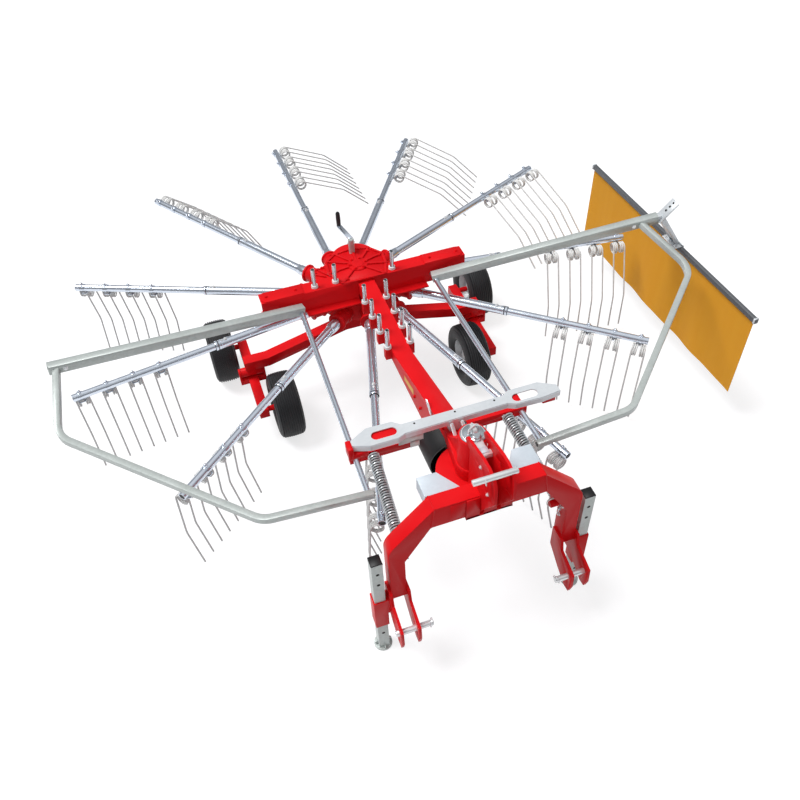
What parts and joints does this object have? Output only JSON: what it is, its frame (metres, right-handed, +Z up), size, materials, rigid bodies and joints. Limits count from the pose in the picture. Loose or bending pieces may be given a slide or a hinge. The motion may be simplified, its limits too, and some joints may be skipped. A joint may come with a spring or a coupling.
{
  "type": "side delivery rake",
  "caption": "Three-point mounted rotary rake with sprung tine arms around a hub, tandem wheels, folding tube guards and a side swath curtain.",
  "frame": {"origin": "middle of the bounding box in plan, on the floor", "axes": "+Z up; the machine faces -Y (the tractor's side), +X is the curtain side; X is across the machine"},
  "size_m": [3.4584, 3.6902, 1.216],
  "materials": {
    "red_paint": "gloss red paint",
    "galvanised": "hot-dip galvanised",
    "tine_wire": "pale painted spring wire",
    "tyre": "black rubber",
    "rim": "pale grey paint",
    "black_plastic": "matt black",
    "shaft_steel": "bare steel",
    "curtain_cloth": "yellow-orange coated cloth"
  },
  "bodies": {
    "frame": {"gear_housing": "red_paint", "main_beam": "red_paint", "cross_beam": "red_paint", "front_bar": "galvanised", "latch_bar": "galvanised", "storage_pegs": "galvanised", "height_crank": "red_paint", "axle": "red_paint", "pto_guard": "black_plastic", "centring_springs": "galvanised"},
    "rotor": {"rotor_hub": "red_paint", "arm_carriers": "galvanised", "tine_arm_01": "galvanised", "tines_01": "tine_wire", "tine_arm_02": "galvanised", "tines_02": "tine_wire", "tine_arm_03": "galvanised", "tines_03": "tine_wire", "tine_arm_04": "galvanised", "tines_04": "tine_wire", "tine_arm_05": "galvanised", "tines_05": "tine_wire", "tine_arm_06": "galvanised", "tines_06": "tine_wire", "tine_arm_07": "galvanised", "tines_07": "tine_wire", "tine_arm_08": "galvanised", "tines_08": "tine_wire", "tine_arm_09": "galvanised", "tines_09": "tine_wire", "tine_arm_10": "galvanised", "tines_10": "tine_wire", "tine_arm_11": "galvanised", "tines_11": "tine_wire"},
    "drive_shaft": {"pto_shaft": "shaft_steel"},
    "headstock": {"headstock_arch": "red_paint", "headstock_mast": "red_paint", "pivot_pin": "galvanised", "link_pins": "galvanised", "spring_boxes": "red_paint"},
    "curtain_carrier": {"curtain_rail": "galvanised", "curtain": "curtain_cloth"},
    "bogie_left": {"bogie_left": "red_paint"},
    "stand_left": {"stand_left": "galvanised"},
    "guard_left": {"guard_left": "galvanised"},
    "wheel_front_left": {"tyre_front_left": "tyre", "rim_front_left": "rim"},
    "wheel_rear_left": {"tyre_rear_left": "tyre", "rim_rear_left": "rim"},
    "bogie_right": {"bogie_right": "red_paint"},
    "stand_right": {"stand_right": "galvanised"},
    "guard_right": {"guard_right": "galvanised"},
    "wheel_front_right": {"tyre_front_right": "tyre", "rim_front_right": "rim"},
    "wheel_rear_right": {"tyre_rear_right": "tyre", "rim_rear_right": "rim"}
  },
  "joints": [
    {"name": "rotor_spin", "type": "hinge", "parent": "frame", "child": "rotor", "pos_m": [-0.07276, 0.18894, 0.6], "axis": [0, 0, 1], "continuous": true},
    {"name": "pto_spin", "type": "hinge", "parent": "frame", "child": "drive_shaft", "pos_m": [-0.07276, -1.17306, 0.775], "axis": [0, -1, 0], "continuous": true},
    {"name": "headstock_swing", "type": "hinge", "parent": "frame", "child": "headstock", "pos_m": [-0.07276, -1.49806, 0.905], "axis": [0, 0, 1], "range_deg": [-12, 12], "stiffness_Nm_per_rad": 2400, "deforming": ["centring_springs"]},
    {"name": "bogie_rock_left", "type": "hinge", "parent": "frame", "child": "bogie_left", "pos_m": [0.62324, 0.09394, 0.256], "axis": [1, 0, 0], "range_deg": [-8, 8]},
    {"name": "wheel_spin_front_left", "type": "hinge", "parent": "bogie_left", "child": "wheel_front_left", "pos_m": [0.49324, -0.17506, 0.19], "axis": [1, 0, 0], "continuous": true},
    {"name": "wheel_spin_rear_left", "type": "hinge", "parent": "bogie_left", "child": "wheel_rear_left", "pos_m": [0.75324, 0.39794, 0.19], "axis": [1, 0, 0], "continuous": true},
    {"name": "stand_slide_left", "type": "slide", "parent": "headstock", "child": "stand_left", "axis": [0, 0, 1], "range_m": [-0.218, 0.13]},
    {"name": "guard_fold_left", "type": "hinge", "parent": "frame", "child": "guard_left", "pos_m": [0.30524, -0.08106, 0.752], "axis": [0.0252, -0.9996, -0.0102], "range_deg": [0, 68]},
    {"name": "bogie_rock_right", "type": "hinge", "parent": "frame", "child": "bogie_right", "pos_m": [-0.76876, 0.09394, 0.256], "axis": [1, 0, 0], "range_deg": [-8, 8]},
    {"name": "wheel_spin_front_right", "type": "hinge", "parent": "bogie_right", "child": "wheel_front_right", "pos_m": [-0.63876, -0.17506, 0.19], "axis": [1, 0, 0], "continuous": true},
    {"name": "wheel_spin_rear_right", "type": "hinge", "parent": "bogie_right", "child": "wheel_rear_right", "pos_m": [-0.89876, 0.39794, 0.19], "axis": [1, 0, 0], "continuous": true},
    {"name": "stand_slide_right", "type": "slide", "parent": "headstock", "child": "stand_right", "axis": [0, 0, 1], "range_m": [-0.218, 0.13]},
    {"name": "guard_fold_right", "type": "hinge", "parent": "frame", "child": "guard_right", "pos_m": [-0.45076, -0.08106, 0.752], "axis": [0.0252, 0.9996, 0.0102], "range_deg": [0, 68]},
    {"name": "curtain_slide", "type": "slide", "parent": "guard_left", "child": "curtain_carrier", "axis": [0.9664, -0.1876, 0.1757], "range_m": [0, 0.2]}
  ],
  "couplings": [
    {"joint": "pto_spin", "follows": "rotor_spin", "ratio": 8}
  ]
}
